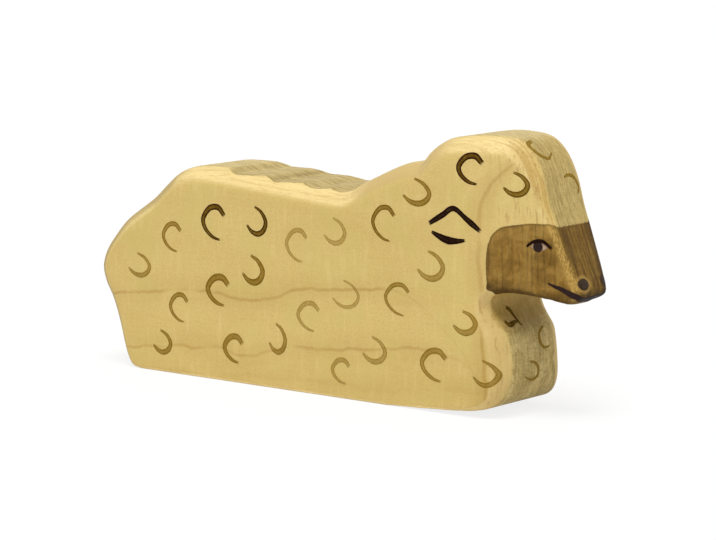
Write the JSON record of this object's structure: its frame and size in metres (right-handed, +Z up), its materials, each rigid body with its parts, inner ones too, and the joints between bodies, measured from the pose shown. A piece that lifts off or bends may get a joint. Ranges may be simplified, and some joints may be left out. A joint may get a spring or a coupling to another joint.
{
  "type": "lying sheep figurine",
  "caption": "Lying sheep figure sawn from one thick maple board, with sanded round edges, a tapered head, wool folds on its back and painted curls and face.",
  "frame": {"origin": "middle of the flat base, under the middle of the whole figure's length", "axes": "+X from the rump to the nose, +Y across the board to the left flank, +Z up from the base"},
  "size_m": [0.128, 0.0244, 0.0584],
  "materials": {
    "maple": "pale maple, sanded and lightly oiled",
    "face_stain": "translucent brown stain on maple",
    "wool_paint": "thin brown brush strokes that let the wood through",
    "line_paint": "dark brown paint lines",
    "eye_white": "warm white paint"
  },
  "bodies": {
    "root": {"brow_wool_curl": "wool_paint", "crown_wool_curl": "wool_paint", "face_stain": "face_stain", "left_ear_fold": "line_paint", "left_ear_ridge": "line_paint", "left_eye_white": "eye_white", "left_eyelid": "line_paint", "left_nostril": "line_paint", "left_pupil": "line_paint", "left_wool_curl_01": "wool_paint", "left_wool_curl_02": "wool_paint", "left_wool_curl_03": "wool_paint", "left_wool_curl_04": "wool_paint", "left_wool_curl_05": "wool_paint", "left_wool_curl_06": "wool_paint", "left_wool_curl_07": "wool_paint", "left_wool_curl_08": "wool_paint", "left_wool_curl_09": "wool_paint", "left_wool_curl_10": "wool_paint", "left_wool_curl_11": "wool_paint", "left_wool_curl_12": "wool_paint", "left_wool_curl_13": "wool_paint", "left_wool_curl_14": "wool_paint", "left_wool_curl_15": "wool_paint", "lower_chest_wool_curl": "wool_paint", "mouth": "line_paint", "right_ear_fold": "line_paint", "right_ear_ridge": "line_paint", "right_eye_white": "eye_white", "right_eyelid": "line_paint", "right_nostril": "line_paint", "right_pupil": "line_paint", "right_wool_curl_01": "wool_paint", "right_wool_curl_02": "wool_paint", "right_wool_curl_03": "wool_paint", "right_wool_curl_04": "wool_paint", "right_wool_curl_05": "wool_paint", "right_wool_curl_06": "wool_paint", "right_wool_curl_07": "wool_paint", "right_wool_curl_08": "wool_paint", "right_wool_curl_09": "wool_paint", "right_wool_curl_10": "wool_paint", "right_wool_curl_11": "wool_paint", "right_wool_curl_12": "wool_paint", "right_wool_curl_13": "wool_paint", "right_wool_curl_14": "wool_paint", "right_wool_curl_15": "wool_paint", "right_wool_curl_16": "wool_paint", "right_wool_curl_17": "wool_paint", "right_wool_curl_18": "wool_paint", "right_wool_curl_19": "wool_paint", "right_wool_curl_20": "wool_paint", "right_wool_curl_21": "wool_paint", "right_wool_curl_22": "wool_paint", "right_wool_curl_23": "wool_paint", "right_wool_curl_24": "wool_paint", "right_wool_curl_25": "wool_paint", "throat_wool_mark": "wool_paint", "upper_chest_wool_curl": "wool_paint", "wooden_body": "maple"}
  },
  "joints": []
}
